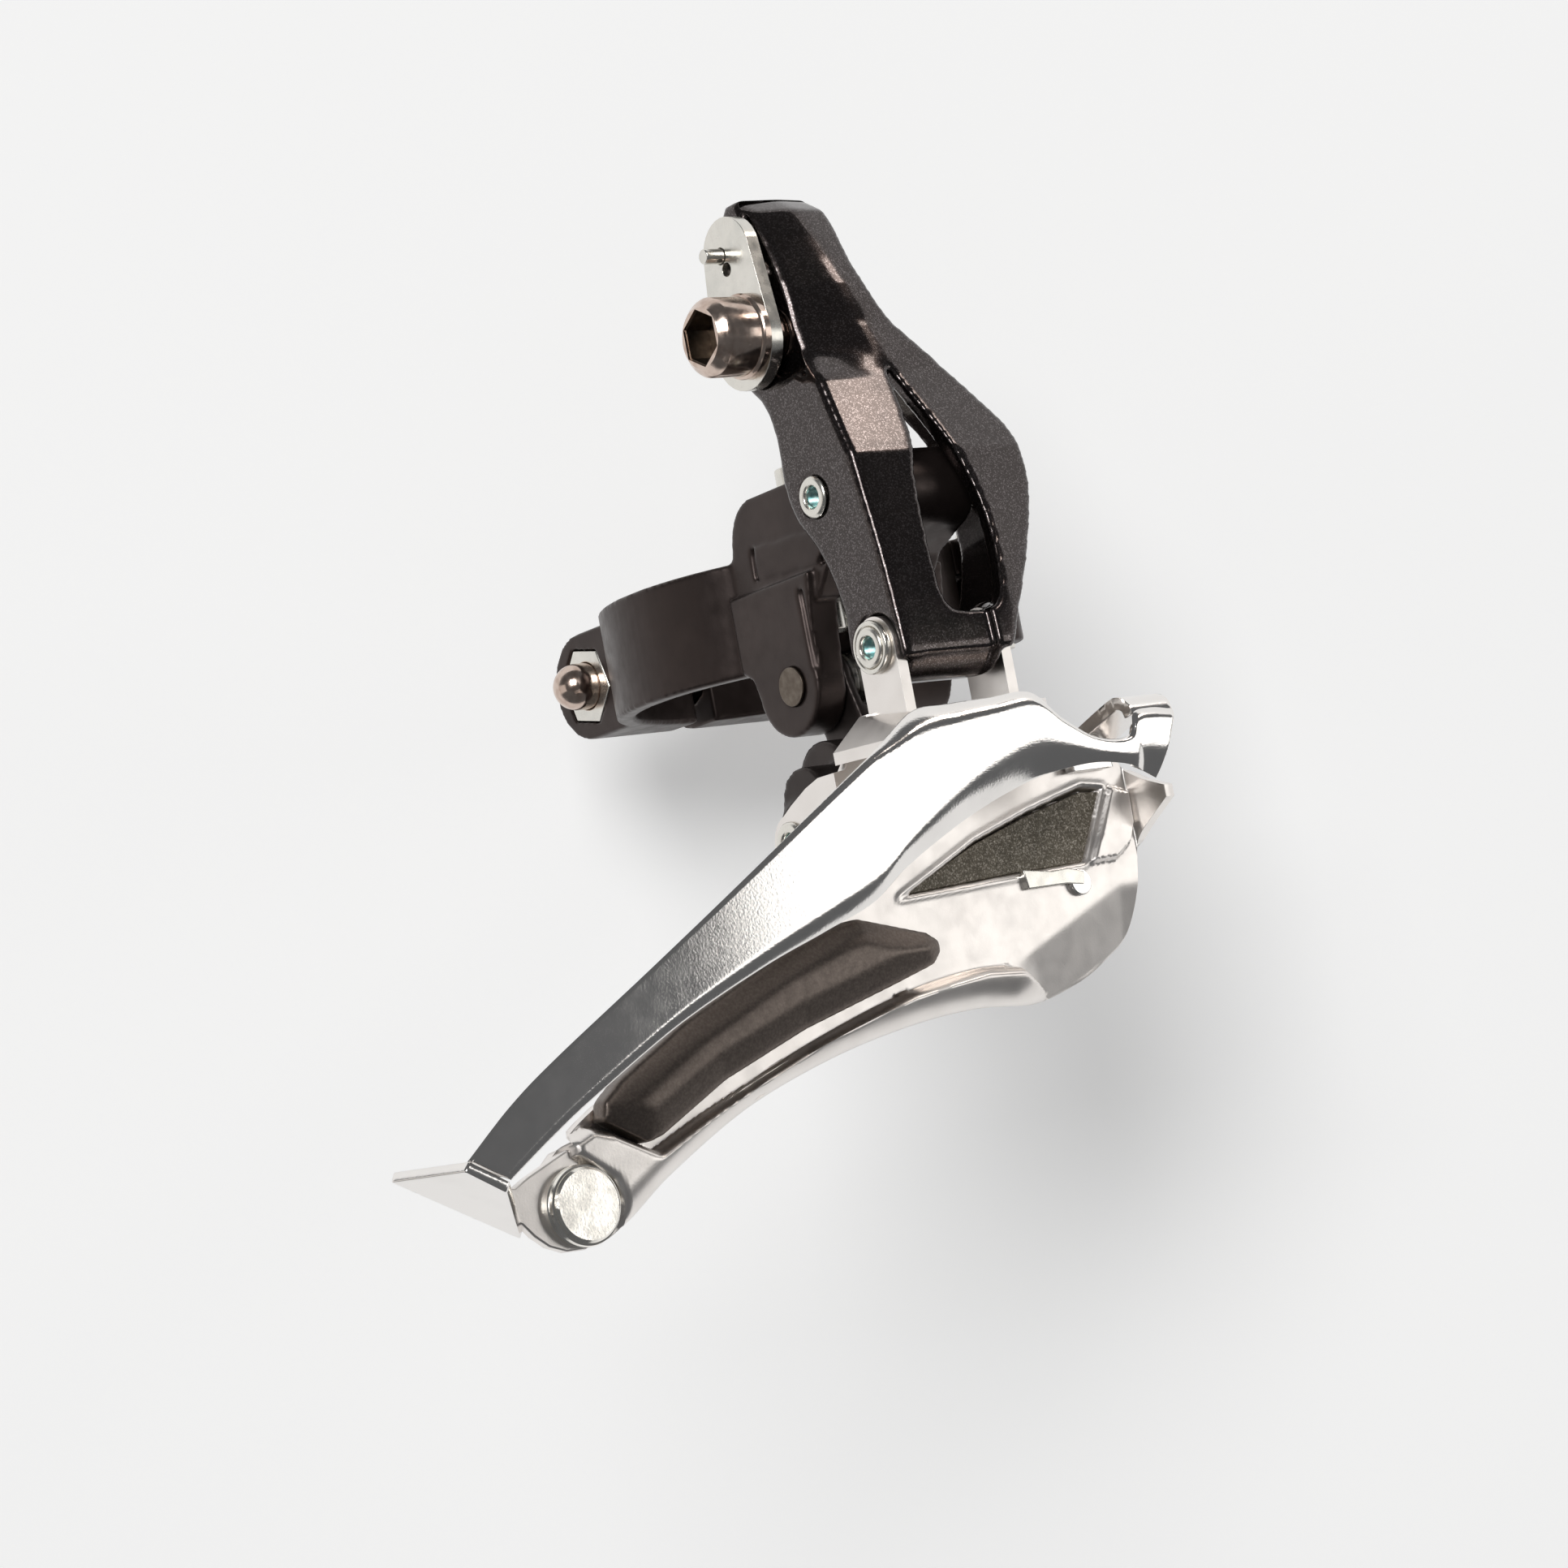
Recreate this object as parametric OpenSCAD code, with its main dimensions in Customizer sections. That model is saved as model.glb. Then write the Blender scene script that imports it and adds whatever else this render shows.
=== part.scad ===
// Front derailleur for a double road crankset, band-on, with a long cable arm.
// Frame: origin at the centre of the seat-tube clamp, +Z up along the seat tube,
// +X to the front of the bicycle, -Y outboard towards the chain cage.
// Every linkage pivot runs along X, and the four pivots make a true parallelogram.

/* [Clamp] */
// Diameter of the seat tube that the band closes on
tube_d = 34.9; // [34:0.1:35.4]
// Wall thickness of the clamp ring
ring_wall = 2.0; // [1.8:0.1:2.2]
// Height of the clamp ring along the seat tube
ring_h = 11.5; // [10.5:0.5:12]
// Distance from the tube axis to the clamp bolt axis
clamp_bolt_y = 21.6; // [21.2:0.1:22.4]
// Clear gap between the two clamp ears
ear_gap = 2.4; // [1.6:0.2:3]

/* [Linkage] */
// Sideways offset of the cage end of each link at rest
link_dy = -5.4; // [-5.8:0.1:-5]
// Drop from the base end to the cage end of each link at rest
link_dz = -16.0; // [-16.4:0.1:-15.6]
// Radius of the pivot pins
pin_r = 1.8; // [1.6:0.05:1.9]
// Radial running clearance in the pivots
run_gap = 0.05; // [0.03:0.01:0.08]

/* [Cable arm] */
// Thickness of the outboard wall of the arm
arm_wall = 1.7; // [1.5:0.1:1.8]
// Thickness of the side plates of the arm
arm_side = 2.2; // [2:0.1:2.4]

/* [Cage] */
// Position of the outboard face of the outer cage plate
outer_y = -47.0; // [-47.5:0.1:-46.5]
// Position of the outboard face of the inner cage plate
inner_y = -35.0; // [-35.3:0.1:-34.7]
// Thickness of the cage sheet
sheet = 1.2; // [1:0.1:1.4]
// How far the skid pad stands out of the inner plate
pad_h = 3.2; // [2.6:0.1:3.6]

/* [Hidden] */
$fn = 48;

satin = [0.21, 0.19, 0.18];
gloss = [0.13, 0.13, 0.14];
zinc = [0.78, 0.79, 0.78];
copper = [0.62, 0.47, 0.40];
bright = [0.80, 0.79, 0.78];
resin = [0.20, 0.19, 0.18];

// Pivot centres as [Y, Z]
arm_base = [-30.9, 8.2];
link_base = [-20.0, -8.4];
link_step = [link_dy, link_dz];
arm_cage = arm_base + link_step;
link_cage = link_base + link_step;
cable_pt = [-27.5, 25.2];
plate_top = [-26.6, 33.6];
plate_pin = plate_top + [0.9, 0.2];

bore_r = tube_d / 2;
ring_r = bore_r + ring_wall;
ear_r = ring_h / 2;
ear_x0 = ear_gap / 2;
ear_x1 = 12;
clamp_shank_r = 2.5;
knuckle_r = 3.0;
hinge_pin_r = 1.5;
hinge_at = -52;
hinge_c = [21.4 * cos(hinge_at), 21.4 * sin(hinge_at)];
knuckle_h = 1.7;
knuckle_gap = 0.25;
nut_flats = 7.6;
nut_h = 3.4;

base_x0 = -15.0;
block_x1 = -0.8;
base_x1 = 1.0;
barrel_r = 4.2;
cheek_t = 2.6;
cheek_pt = [-19.1, -8.4];
link_x0 = base_x0 + cheek_t + 0.3;
link_x1 = -6.0;
link_top_r = 3.4;
screw_r = 1.95;
screw_y = -21.5;
screw_xs = [-11.4, -5.4];
base_top = 11.3;

arm_x0 = -17.5;
arm_low_x0 = -16.4;
arm_low_x1 = -5.2;
shank_r = 2.45;

low_x0 = -22.2;
low_x1 = -8.2;
lug_r = 2.9;
roof_z = -15.6;
spring_r = 2.55;
wire_r = 0.4;

// Maps a flat [Y, Z] outline to a slab between two X positions
module slab_x(x0, x1) {
    translate([x0, 0, 0])
    rotate([90, 0, 90])
    linear_extrude(height = x1 - x0)
    children();
}

// Maps a flat [X, Z] outline to a slab between two Y positions
module slab_y(y0, y1) {
    translate([0, y1, 0])
    rotate([90, 0, 0])
    linear_extrude(height = y1 - y0)
    children();
}

// Round bar along X, centred on the [Y, Z] point p
module bar_x(x0, x1, p, r) {
    translate([x0, p[0], p[1]])
    rotate([0, 90, 0])
    cylinder(h = x1 - x0, r = r);
}

// Box between two corners
module block(lo, hi) {
    translate(lo)
    cube(hi - lo);
}

// Flat sector of a disc from angle a0 to angle a1
module sector(r, a0, a1) {
    steps = 24;
    polygon(concat([[0, 0]], [for (i = [0:steps]) r * 1.3
        * [cos(a0 + (a1 - a0) * i / steps), sin(a0 + (a1 - a0) * i / steps)]]));
}

// Quadratic curve from p to q that leans towards c, without its last point
function bend(p, c, q, n = 6) = [for (i = [0:n - 1]) let (t = i / n)
    (1 - t) * (1 - t) * p + 2 * t * (1 - t) * c + t * t * q];

// Round-ended link outline between two points with an end radius at each
module strap(p, q, rp, rq) {
    hull() {
        translate(p) circle(r = rp, $fn = 32);
        translate(q) circle(r = rq, $fn = 32);
    }
}

// ---------------------------------------------------------------- clamp

module ring(a0, a1) {
    intersection() {
        cylinder(h = ring_h, r = ring_r, center = true, $fn = 96);
        linear_extrude(height = ring_h + 2, center = true) sector(ring_r, a0, a1);
    }
}

module ear(x0, x1) {
    bar_x(x0, x1, [clamp_bolt_y, 0], ear_r);
    block([x0, 13, -ear_r], [x1, clamp_bolt_y, ear_r]);
}

module knuckle(z0, z1, r) {
    translate([hinge_c[0], hinge_c[1], z0])
    cylinder(h = z1 - z0, r = r);
}

module limit_bores(r) {
    for (x = screw_xs)
        translate([x, screw_y, -5]) cylinder(h = 40, r = r);
}

// Drive-side block between the ring and the arm pivot
module base_block() {
    slab_x(base_x0, block_x1)
    polygon(concat(
        [[-12, -5.5], [-12, 5.75]],
        bend([-12.6, 6.2], [-13.2, 10.6], [-16.5, base_top]),
        [[-16.5, base_top], [-25.5, base_top], [-30.5, 12.2], [-34.2, 9.5], [-32.5, 4.4],
         [-28.0, 2.4], [-25.5, -0.6], [-17, -1.4]]));
    bar_x(base_x0, block_x1, arm_base, barrel_r);
}

// Cheek that carries the link pivot
module base_cheek(x0, x1) {
    slab_x(x0, x1) {
        polygon([[-12, -5.5], [-12, 2], [-25.6, 2], [-24.6, -3], [cheek_pt[0] - 4.8, cheek_pt[1]],
                 [cheek_pt[0] + 4.4, cheek_pt[1] - 2], [-13.6, -6.5]]);
        translate(cheek_pt) circle(r = 4.9);
    }
}

module clamp_body() {
    color(satin)
    difference() {
        union() {
            ring(97, 306);
            ear(-ear_x1, -ear_x0);
            base_block();
            base_cheek(base_x0 - 1, base_x0 + cheek_t);
            base_cheek(link_x1 + 0.3, base_x1);
            knuckle(knuckle_h + knuckle_gap, ear_r, knuckle_r);
            knuckle(-ear_r, -knuckle_h - knuckle_gap, knuckle_r);
        }
        translate([0, 0, -30]) cylinder(h = 60, r = bore_r, $fn = 96);
        knuckle(-knuckle_h - knuckle_gap, knuckle_h + knuckle_gap, knuckle_r + 0.4);
        knuckle(-10, 10, hinge_pin_r);
        bar_x(-30, 0, [clamp_bolt_y, 0], clamp_shank_r + 0.3);
        slab_x(-30, nut_h - ear_x1) nut_outline(nut_flats + 0.2);
        bar_x(-30, 20, arm_base, pin_r);
        bar_x(-30, 20, link_base, pin_r);
        limit_bores(screw_r + run_gap);
        // Room for the upper end of the inner link between the cheeks
        bar_x(base_x0 + cheek_t, link_x1 + 0.3, link_base, link_top_r + 0.4);
    }
}

module clamp_band() {
    color(satin)
    difference() {
        union() {
            ring(-49, 83);
            ear(ear_x0, ear_x1);
            knuckle(-knuckle_h, knuckle_h, knuckle_r);
        }
        translate([0, 0, -30]) cylinder(h = 60, r = bore_r, $fn = 96);
        knuckle(knuckle_h, 10, knuckle_r + 0.4);
        knuckle(-10, -knuckle_h, knuckle_r + 0.4);
        knuckle(-10, 10, hinge_pin_r + run_gap);
        bar_x(0, 30, [clamp_bolt_y, 0], clamp_shank_r + 0.7);
    }
}

module clamp_hinge_pin() {
    color(zinc) {
        knuckle(-ear_r, ear_r, hinge_pin_r);
        knuckle(ear_r, ear_r + 0.6, hinge_pin_r + 0.5);
        knuckle(-ear_r - 0.6, -ear_r, hinge_pin_r + 0.5);
    }
}

module nut_outline(flats) {
    translate([clamp_bolt_y, 0]) rotate(12) circle(r = flats / 2 / cos(30), $fn = 6);
}

module clamp_nut() {
    color(zinc)
    difference() {
        slab_x(-ear_x1 + 0.1, -ear_x1 + nut_h) nut_outline(nut_flats);
        bar_x(-30, 0, [clamp_bolt_y, 0], clamp_shank_r + run_gap);
    }
}

module clamp_washer() {
    color(zinc)
    difference() {
        bar_x(ear_x1 + 0.05, ear_x1 + 0.9, [clamp_bolt_y, 0], 4.6);
        bar_x(0, 30, [clamp_bolt_y, 0], clamp_shank_r);
    }
}

module hex_socket(x0, x1, p, flats) {
    slab_x(x0, x1) translate(p) rotate(90) circle(r = flats / 2 / cos(30), $fn = 6);
}

module clamp_bolt() {
    p = [clamp_bolt_y, 0];
    head_x0 = ear_x1 + 0.9;
    head_x1 = head_x0 + 4.6;
    color(copper)
    difference() {
        union() {
            bar_x(-13.2, head_x0, p, clamp_shank_r);
            translate([-13.2, p[0], p[1]]) intersection() {
                sphere(r = clamp_shank_r);
                block([-3, -3, -3], [0, 3, 3]);
            }
            bar_x(head_x0, head_x1, p, 4.2);
        }
        hex_socket(head_x1 - 2.6, head_x1 + 1, p, 4);
    }
}

// Limit screw with a cross recess; z_tip is the height of its tip
module limit_screw(x, z_tip, head_h) {
    color(zinc)
    difference() {
        union() {
            translate([x, screw_y, z_tip]) cylinder(h = base_top - z_tip, r = screw_r);
            translate([x, screw_y, base_top]) cylinder(h = head_h, r = 2.5);
        }
        for (a = [0, 90])
            translate([x, screw_y, base_top + head_h])
            rotate(a)
            cube([3.2, 0.8, 1.8], center = true);
    }
}

module low_limit_screw() {
    limit_screw(screw_xs[0], -3.6, 2.0);
}

module high_limit_screw() {
    limit_screw(screw_xs[1], -3.2, 1.4);
}

// Hollow rivet between two X positions with a flared head at each end
module rivet_x(x0, x1, p, head_r, head_t) {
    color(zinc)
    difference() {
        union() {
            bar_x(x0, x1, p, pin_r);
            bar_x(x0 - head_t, x0, p, head_r);
            bar_x(x1, x1 + head_t, p, head_r);
        }
        bar_x(x0 - head_t - 1, x0 + 4, p, 1.2);
        bar_x(x1 - 4, x1 + head_t + 1, p, 1.2);
    }
}

module arm_base_rivet() {
    rivet_x(arm_x0, 4.0, arm_base, 2.0, 0.4);
}

module link_base_pin() {
    color(satin) {
        bar_x(base_x0 - 1.1, base_x1, link_base, pin_r);
        bar_x(base_x0 - 1.3, base_x0 - 1, link_base, pin_r + 0.15);
    }
}

// ---------------------------------------------------------------- cable arm

// Outboard edge of the arm as [Y, Z], from the top down
arm_edge = concat(
    bend([-29.0, 38.4], [-33.3, 29.8], [-34.6, 19.5], 8),
    bend([-34.6, 19.5], [-36.1, 13.5], [-38.4, 7.0], 5),
    bend([-38.4, 7.0], [-39.9, -1.0], [-40.3, -9.5], 6),
    [[-40.3, -9.5]]);

// Inboard edge of the side plates as [Y, Z], from the bottom up
arm_inner = concat(
    [[-38.4, -10.2], [-35.6, -11.6], [-33.0, -11.0], [-31.7, -7.8]],
    bend([-32.0, -3.6], [-31.0, 2.0], [-28.4, 5.0], 4),
    bend([-28.4, 5.0], [-26.0, 7.6], [-26.4, 12.5], 4),
    bend([-26.4, 12.5], [-27.0, 18.2], [-23.8, 20.5], 4),
    bend([-23.8, 20.5], [-21.4, 24.6], [-22.4, 30.6], 4),
    bend([-22.4, 30.6], [-22.8, 36.4], [-25.2, 38.4], 5),
    [[-25.2, 38.4]]);

// Front edge of the arm as [X, Z], from the top down
arm_nose = concat(
    bend([-9.6, 38.6], [-8.4, 38.0], [-8.3, 35.0], 4),
    bend([-8.3, 35.0], [-8.8, 29.6], [-5.8, 24.6], 5),
    bend([-5.8, 24.6], [0.8, 17.8], [3.3, 13.6], 5),
    bend([3.4, 13.6], [5.0, 9.4], [2.6, 4.0], 6),
    bend([2.6, 4.0], [0.4, -1.0], [-3.0, -7.0], 5),
    [[-3.0, -7.0], [-3.7, -8.9], [-5.0, -10.9], [-6.8, -10.0], [-8.0, -9.5]]);

module arm_side_outline() {
    polygon(concat(arm_edge, arm_inner));
}

module arm_face_outline(shrink = 0) {
    polygon(concat([[-30, -9.5], [-30, 38.6]],
        [for (p = arm_nose) [p[0] - shrink, p[1]]]));
}

// Curved three-sided window through the outboard wall
module arm_window() {
    slab_y(-50, -33)
    polygon(concat(
        bend([-8.8, 20.8], [-8.2, 13.5], [-10.4, 8.4], 5),
        bend([-10.4, 8.4], [-11.6, 2.0], [-11.4, -3.4], 4),
        bend([-11.4, -3.4], [-11.1, -5.4], [-9.4, -5.5], 3),
        [[-9.4, -5.5], [-6.2, -5.7]],
        bend([-6.2, -5.7], [-4.4, -5.5], [-4.0, -3.0], 3),
        bend([-4.0, -3.0], [-2.6, 3.4], [-3.9, 8.0], 5),
        bend([-3.9, 8.0], [-5.0, 13.0], [-8.0, 18.6], 5)));
}

// Room that a cage lug sweeps beside the lower barrel
module lug_room(x0, x1) {
    slab_x(x0, x1)
    translate(arm_cage) {
        circle(r = lug_r + 0.2);
        for (a = [0, 20, 40])
            rotate(a) translate([-lug_r - 0.2, -9]) square([2 * lug_r + 0.4, 9]);
    }
}

module cable_arm() {
    color(gloss)
    difference() {
        union() {
            // Outboard wall
            intersection() {
                slab_x(arm_x0, 8)
                polygon(concat(arm_edge,
                    [for (i = [len(arm_edge) - 1:-1:0]) arm_edge[i] + [arm_wall, 0]]));
                slab_y(-50, -10) arm_face_outline();
            }
            // Rear side plate
            slab_x(arm_x0, arm_x0 + arm_side) arm_side_outline();
            // Front side plate, which follows the front edge
            intersection() {
                slab_x(-12, 8) arm_side_outline();
                slab_y(-50, -10)
                difference() {
                    arm_face_outline();
                    arm_face_outline(arm_side);
                }
            }
            bar_x(arm_low_x0, arm_low_x1, arm_cage, 3.8);
            bar_x(arm_x0 - 0.4, -9.4, cable_pt, 4.1);
        }
        lug_room(-30, arm_low_x0);
        lug_room(arm_low_x1, 20);
        bar_x(-30, 20, arm_base, pin_r + run_gap);
        bar_x(-30, 20, arm_cage, pin_r + run_gap);
        bar_x(-30, 20, cable_pt, shank_r + run_gap);
        arm_window();
    }
}

module cable_plate_pin() {
    color(zinc)
    bar_x(arm_x0 - 3.9, arm_x0, plate_pin, 0.75);
}

module cable_plate() {
    plate_x0 = arm_x0 - 1.8;
    color(zinc)
    difference() {
        slab_x(plate_x0, arm_x0 - 0.4) strap(plate_top, cable_pt + [0.9, -0.2], 3.8, 4.9);
        bar_x(-40, 0, cable_pt, shank_r + run_gap);
        bar_x(-40, 0, plate_pin, 0.85);
        bar_x(-40, 0, plate_pin + [-0.6, -1.5], 0.7);
    }
}

module cable_bolt() {
    collar_x = arm_x0 - 1.8;
    head_x = collar_x - 5.6;
    color(copper)
    difference() {
        union() {
            bar_x(collar_x, -9.8, cable_pt, shank_r);
            bar_x(collar_x - 0.8, collar_x, cable_pt, 4.2);
            bar_x(head_x, collar_x - 0.7, cable_pt, 3.9);
        }
        hex_socket(head_x - 1, head_x + 3, cable_pt, 5);
    }
}

// ---------------------------------------------------------------- inner link

module inner_link() {
    dir = link_step / norm(link_step);
    color(satin)
    difference() {
        union() {
            bar_x(link_x0, link_x1, link_base, link_top_r);
            bar_x(low_x0, low_x1, link_cage, barrel_r);
            slab_x(link_x0, link_x1) strap(link_base, link_base + dir * 9, 3.2, 3.2);
            slab_x(-17, low_x1) strap(link_base + dir * 10.9, link_cage, 4.2, 3.8);
            slab_x(low_x0 + 0.3, -17.4) strap(link_cage + [-0.8, 3.7], link_cage, 3.5, 3.9);
        }
        // Space for the spring between the two ears of the upper end
        bar_x(link_x0 + 1.1, link_x1 - 1.1, link_base, 5.4);
        bar_x(-30, 20, link_base, pin_r + run_gap);
        bar_x(-30, 20, link_cage, pin_r + run_gap);
    }
}

// Ring of points round the wire at point p, in the plane of the coil axis and radius
function wire_ring(a, x, r, n = 8) = [for (k = [0:n - 1]) let (b = 360 * k / n)
    [x + wire_r * sin(b), link_base[0] + (r + wire_r * cos(b)) * cos(a),
     link_base[1] + (r + wire_r * cos(b)) * sin(a)]];

// Torsion spring with its two legs along the tangents
module return_spring() {
    turns = 3.4;
    rings = 60;
    sides = 8;
    x0 = link_x0 + 1.55;
    x1 = link_x1 - 1.55;
    a0 = 20;
    points = [for (i = [0:rings]) each wire_ring(a0 + 360 * turns * i / rings,
        x0 + (x1 - x0) * i / rings, spring_r)];
    walls = [for (i = [0:rings - 1], k = [0:sides - 1]) let (m = (k + 1) % sides)
        [i * sides + k, i * sides + m, (i + 1) * sides + m, (i + 1) * sides + k]];
    color(zinc) {
        polyhedron(points, concat([[for (k = [sides - 1:-1:0]) k]], walls,
            [[for (k = [0:sides - 1]) rings * sides + k]]), convexity = 10);
        translate([x0, link_base[0], link_base[1]])
        rotate([a0, 0, 0])
        translate([0, spring_r, -3.6])
        cylinder(h = 3.7, r = wire_r * 0.85);
    }
}

// ---------------------------------------------------------------- chain cage

outer_outline = concat(
    bend([-77.0, -49.2], [-73.0, -45.2], [-67.1, -41.9], 4),
    bend([-67.1, -41.9], [-45.0, -29.0], [-22.2, -15.4], 2),
    [[-22.2, -15.4], [-8.4, -15.0]],
    bend([-7.9, -15.2], [-5.0, -18.9], [0.4, -20.4], 5),
    bend([0.4, -20.4], [3.0, -20.4], [3.3, -17.6], 4),
    [[3.3, -17.6], [8.7, -17.9], [8.8, -19.0], [5.3, -24.3]],
    bend([4.9, -24.3], [-2.0, -21.2], [-8.9, -23.0], 6),
    bend([-8.9, -23.0], [-19.0, -26.0], [-27.0, -30.0], 4),
    bend([-27.0, -30.0], [-32.0, -33.4], [-39.5, -35.3], 4),
    bend([-39.5, -35.3], [-57.0, -40.5], [-73.4, -51.5], 7),
    [[-73.4, -51.5]]);

// Sheet strip of the tail bridge between two [X, Z] points, at one Y position
module bridge_strip(a, b, y) {
    run = (b - a) / norm(b - a);
    drop = [run[1], -run[0]] * sheet;
    slab_y(y, y + sheet) polygon([a, b, b + drop, a + drop]);
}

// Sloping flange that joins the tails of the two plates
module tail_bridge() {
    hull() {
        bridge_strip([-77.0, -49.2], [-73.4, -51.5], outer_y);
        bridge_strip([-79.0, -48.7], [-66.9, -55.5], inner_y);
    }
}

tail_pt = [-61.8, -54.7];
nose_pt = [5.9, -20.9];

module cage_outer_plate() {
    color(bright)
    difference() {
        union() {
            slab_y(outer_y, outer_y + sheet) polygon(outer_outline);
            tail_bridge();
            // Tab from the bridge to the tail rivet
            slab_y(inner_y - sheet, inner_y)
            union() {
                polygon([[-72.6, -52.6], [-66.0, -50.9], [-62.4, -50.4], [-60.5, -58.4],
                         [-67.4, -56.6]]);
                translate(tail_pt) circle(r = 4.2);
            }
            // Roof over the nose, down to the inner plate
            slab_x(3.3, 8.7)
            polygon(concat(
                bend([outer_y, -19], [outer_y, -16.3], [outer_y + 2.4, -16.2], 5),
                [[outer_y + 2.4, -16.2], [inner_y - 1.6, -18.6]],
                bend([inner_y - 0.6, -19.0], [inner_y, -19.4], [inner_y, -20.4], 4),
                [[inner_y, -22.0], [inner_y - sheet, -22.0], [inner_y - sheet, -20.4],
                 [inner_y - 2.2, -19.9], [outer_y + 2.4, -17.5],
                 [outer_y + sheet, -18.2], [outer_y + sheet, -19]]));
        }
        slab_y(-60, 0) translate(tail_pt) circle(r = 1.8);
        slab_y(-40, 0) translate(nose_pt) circle(r = 0.8);
    }
}

inner_outline = concat(
    [[-61.4, -48.6], [-58.0, -46.6]],
    bend([-45.0, -39.6], [-33.0, -33.2], [-25.0, -29.0], 3),
    bend([-25.0, -29.0], [-16.0, -22.4], [-4.0, -20.6], 4),
    [[-4.0, -20.6], [2.0, -20.4], [3.4, -19.4], [8.8, -19.4], [13.5, -22.8], [13.5, -36.6]],
    bend([9.4, -37.2], [5.0, -42.0], [-5.0, -43.6], 6),
    bend([-5.0, -43.6], [-13.0, -42.6], [-21.2, -43.7], 4),
    bend([-21.2, -43.7], [-38.0, -46.6], [-53.0, -54.6], 6),
    [[-53.0, -54.6]],
    bend([-55.6, -56.6], [-61.0, -60.6], [-65.0, -56.6], 4),
    [[-65.6, -53.6]]);

// Route of the inner plate in plan, from the tail to the nose, as [X, Y]
module inner_route() {
    polygon([[-70, inner_y], [8.8, inner_y], [11.1, inner_y - 6.9], [12.4, inner_y - 6.6],
             [9.7, inner_y + sheet], [-70, inner_y + sheet]]);
}

// Side view limit of the bent nose wing, as [Y, Z]
module wing_limit() {
    slab_x(-90, 20)
    polygon([[-20, -10], [-35.5, -10], [-36.5, -19.5], [-41.1, -23.6], [-41.9, -24.6],
             [-41.2, -27.0], [-40.0, -28.8], [-39.1, -31.0], [-37.3, -35.2], [-36.1, -37.1],
             [-35.2, -38.4], [-35.2, -70], [-20, -70]]);
}

module cage_inner_plate() {
    color(bright)
    difference() {
        intersection() {
            translate([0, 0, -70]) linear_extrude(height = 60) inner_route();
            slab_y(-60, -20) polygon(inner_outline);
            wing_limit();
        }
        slab_y(-60, 0) translate(tail_pt) circle(r = 1.8);
        slab_y(-60, 0) translate(nose_pt) circle(r = 0.8);
        slab_y(-60, 0) for (p = bracket_pts) translate(p) circle(r = 0.9);
        slab_y(-60, 0) for (p = pad_pts) translate(p) circle(r = 1.1);
    }
}

web_y0 = inner_y + sheet;
web_y1 = inner_y + 2 * sheet;
web_x0 = low_x0 - 0.2 - sheet;
roof_x0 = -18.4;
roof_top_z = -13.8;
bracket_pts = [[-14.0, -22.5], [2.5, -32.6]];
pad_pts = [[-47.0, -45.2], [-26.0, -37.6]];

// Rear part of the roof, which slopes down to the lower edge of the notch in the web
module roof_slope() {
    hull()
    for (e = [[roof_x0, 0], [roof_x0 - 3.9, -3.2]], t = [0, 1])
        translate([e[0], outer_y + sheet + t * (web_y1 - outer_y - sheet - 0.1),
                   (1 - t) * roof_z + t * roof_top_z - sheet + e[1] * (0.6 + 0.4 * t)])
        cube([0.1, 0.1, sheet]);
}

// Yoke that carries the cage on the two links
module cage_bracket() {
    color(bright)
    difference() {
        union() {
            // Lugs for the arm
            for (x = [arm_low_x0 - 0.2 - sheet, arm_low_x1 + 0.2])
                slab_x(x, x + sheet) {
                    translate(arm_cage) circle(r = lug_r);
                    polygon([[arm_cage[0] - lug_r, arm_cage[1]], [arm_cage[0] + lug_r, arm_cage[1]],
                             [arm_cage[0] + lug_r, roof_top_z - 0.9], [arm_cage[0] - lug_r, roof_z]]);
                }
            // Roof over the chain, web down the inner plate, lip on the outer plate
            intersection() {
                slab_x(-23, 0)
                polygon([[outer_y + sheet, roof_z], [web_y1, roof_top_z],
                         [web_y1, roof_top_z - sheet], [outer_y + sheet, roof_z - sheet]]);
                translate([0, 0, -20])
                linear_extrude(height = 10)
                polygon([[roof_x0, -50], [-8.6, -50], [-8.6, outer_y + sheet], [-2.6, -41.5],
                         [-2.6, -30], [roof_x0, -30]]);
            }
            roof_slope();
            slab_y(web_y0, web_y1)
            polygon([[web_x0, -19.0], [roof_x0 - 3.8, -18.8], [roof_x0, roof_top_z], [-2.6, roof_top_z],
                     [5.4, -28.0], [6.4, -34.8], [0.6, -34.8], [-8.0, -29.2], [web_x0, -28.0]]);
            slab_y(outer_y + sheet, outer_y + 2 * sheet)
            polygon([[-19.4, roof_z], [-9.0, roof_z], [-9.0, -20.4], [-19.4, -22.4]]);
            // Lugs for the inner link
            for (x = [web_x0, low_x1 + 0.2])
                slab_x(x, x + sheet) {
                    translate(link_cage) circle(r = lug_r);
                    translate(link_cage)
                    polygon([[0, -lug_r], [web_y0 - link_cage[0], -lug_r], [web_y0 - link_cage[0], 5.4],
                             [-5.8, 5.4], [-3.6, 4.8], [-0.8, 3.6], [1.3, 2.5]]);
                }
        }
        bar_x(-30, 20, arm_cage, pin_r);
        bar_x(-30, 20, link_cage, pin_r);
        slab_y(inner_y, 0) for (p = bracket_pts) translate(p) circle(r = 0.9);
    }
}

module arm_cage_rivet() {
    rivet_x(arm_low_x0 - 0.2 - sheet, arm_low_x1 + 0.2 + sheet, arm_cage, 2.0, 1.0);
}

// Pressed ring round the head of the arm's cage rivet
module arm_cage_collar() {
    x = arm_low_x0 - 0.2 - sheet;
    color(zinc)
    difference() {
        bar_x(x - 0.8, x, arm_cage, 2.6);
        bar_x(x - 2, x + 1, arm_cage, 2.0);
    }
}

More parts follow.
